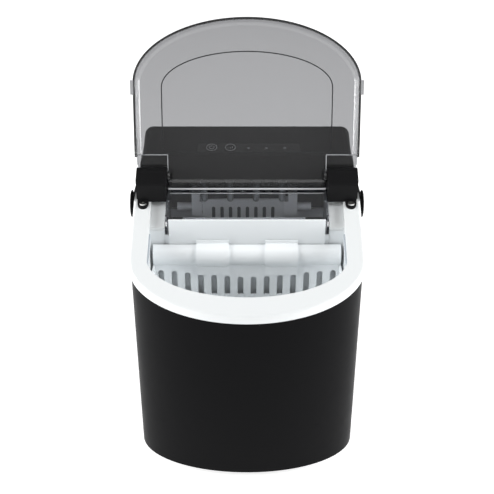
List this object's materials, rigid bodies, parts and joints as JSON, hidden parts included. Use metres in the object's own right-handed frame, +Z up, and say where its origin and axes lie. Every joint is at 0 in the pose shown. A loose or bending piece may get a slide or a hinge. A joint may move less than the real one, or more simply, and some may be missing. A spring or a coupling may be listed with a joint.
{
  "type": "countertop ice maker",
  "caption": "Countertop ice maker with a D-shaped body, sloping mouth, hinged smoked lid, lift-out ice basket, control hood and folding carry handle.",
  "frame": {"origin": "under the middle of the footprint, at the undersides of the feet", "axes": "+X to the right seen from the front, +Y to the rear, +Z up"},
  "size_m": [0.2334, 0.3063, 0.4269],
  "materials": {
    "black_paint": "matt black powder coat",
    "black_plastic": "fine matt black moulding",
    "white_plastic": "satin white moulding",
    "liner_plastic": "satin white food-safe moulding",
    "basket_plastic": "translucent white moulding",
    "smoked_lid": "smoked clear plastic, polished",
    "smoked_guard": "smoked clear plastic, polished",
    "grey_plastic": "grey moulding",
    "foam": "foamed insulation",
    "seal_rubber": "soft grey seal",
    "foot_rubber": "black rubber",
    "overlay": "gloss black strip",
    "key_plastic": "satin black key with a printed ring",
    "lamp": "clear lamp pipe",
    "circuit": "green board",
    "screw_steel": "plated steel",
    "nickel": "nickel plate",
    "compressor_paint": "gloss black enamel",
    "fin_aluminium": "thin bare fins",
    "copper": "bare copper",
    "hose_silicone": "milky silicone"
  },
  "bodies": {
    "casing": {"outer_wrap": "black_paint", "rear_panel": "black_plastic", "base_pan": "black_plastic", "rubber_feet": "foot_rubber", "top_frame": "white_plastic", "inner_liner": "liner_plastic", "ice_chute": "liner_plastic", "foam_insulation": "foam", "mouth_seal": "seal_rubber", "control_housing": "black_plastic", "control_overlay": "overlay", "indicator_leds": "lamp", "control_board": "circuit", "housing_screws": "screw_steel", "hinge_pins": "black_plastic", "ice_guard": "smoked_guard", "freezing_fingers": "nickel", "evaporator_tube": "nickel", "shovel_brackets": "grey_plastic", "tray_bearings": "grey_plastic", "ice_sensors": "lamp", "level_float": "liner_plastic", "compressor": "compressor_paint", "compressor_grommets": "foot_rubber", "condenser_fins": "fin_aluminium", "condenser_coil": "copper", "fan_frame": "black_plastic", "fan_motor": "screw_steel", "water_pump": "black_plastic", "water_hose": "hose_silicone", "tray_motor": "liner_plastic", "power_board": "circuit", "filter_drier": "copper", "refrigerant_lines": "copper", "cord_gland": "foot_rubber", "drain_spout": "white_plastic", "rear_screws": "screw_steel"},
    "lid": {"lid": "smoked_lid"},
    "handle": {"carry_handle": "black_plastic", "handle_grip": "foot_rubber", "pivot_caps": "black_plastic"},
    "basket": {"ice_basket": "basket_plastic"},
    "shovel": {"ice_shovel": "grey_plastic", "shovel_shaft": "grey_plastic"},
    "tray": {"water_tray": "grey_plastic"},
    "fan": {"fan_blades": "black_plastic"},
    "power_key": {"power_key": "key_plastic"},
    "select_key": {"select_key": "key_plastic"},
    "drain_plug": {"drain_plug": "foot_rubber"}
  },
  "joints": [
    {"name": "lid_hinge", "type": "hinge", "parent": "casing", "child": "lid", "pos_m": [0, -0.0135, 0.2764], "axis": [1, 0, 0], "range_deg": [0, 131.9]},
    {"name": "handle_hinge", "type": "hinge", "parent": "casing", "child": "handle", "pos_m": [0, -0.0208, 0.25], "axis": [1, 0, 0], "range_deg": [0, 66]},
    {"name": "basket_lift", "type": "slide", "parent": "casing", "child": "basket", "axis": [0, 0, 1], "range_m": [0, 0.014]},
    {"name": "shovel_swing", "type": "hinge", "parent": "casing", "child": "shovel", "pos_m": [0, 0.0092, 0.2303], "axis": [1, 0, 0], "range_deg": [0, 70]},
    {"name": "tray_tilt", "type": "hinge", "parent": "casing", "child": "tray", "pos_m": [0, -0.0308, 0.226], "axis": [1, 0, 0], "range_deg": [-36, 0]},
    {"name": "fan_spin", "type": "hinge", "parent": "casing", "child": "fan", "pos_m": [0.052, 0.0967, 0.096], "axis": [0, 1, 0], "continuous": true},
    {"name": "power_key_press", "type": "slide", "parent": "casing", "child": "power_key", "axis": [0, 0.2351, -0.972], "range_m": [0, 0.0008], "stiffness_N_per_m": 400},
    {"name": "select_key_press", "type": "slide", "parent": "casing", "child": "select_key", "axis": [0, 0.2351, -0.972], "range_m": [0, 0.0008], "stiffness_N_per_m": 400},
    {"name": "drain_plug_pull", "type": "slide", "parent": "casing", "child": "drain_plug", "axis": [0, 1, 0], "range_m": [0, 0.022]}
  ],
  "couplings": [
    {"joint": "tray_tilt", "follows": "shovel_swing", "ratio": -0.5}
  ]
}
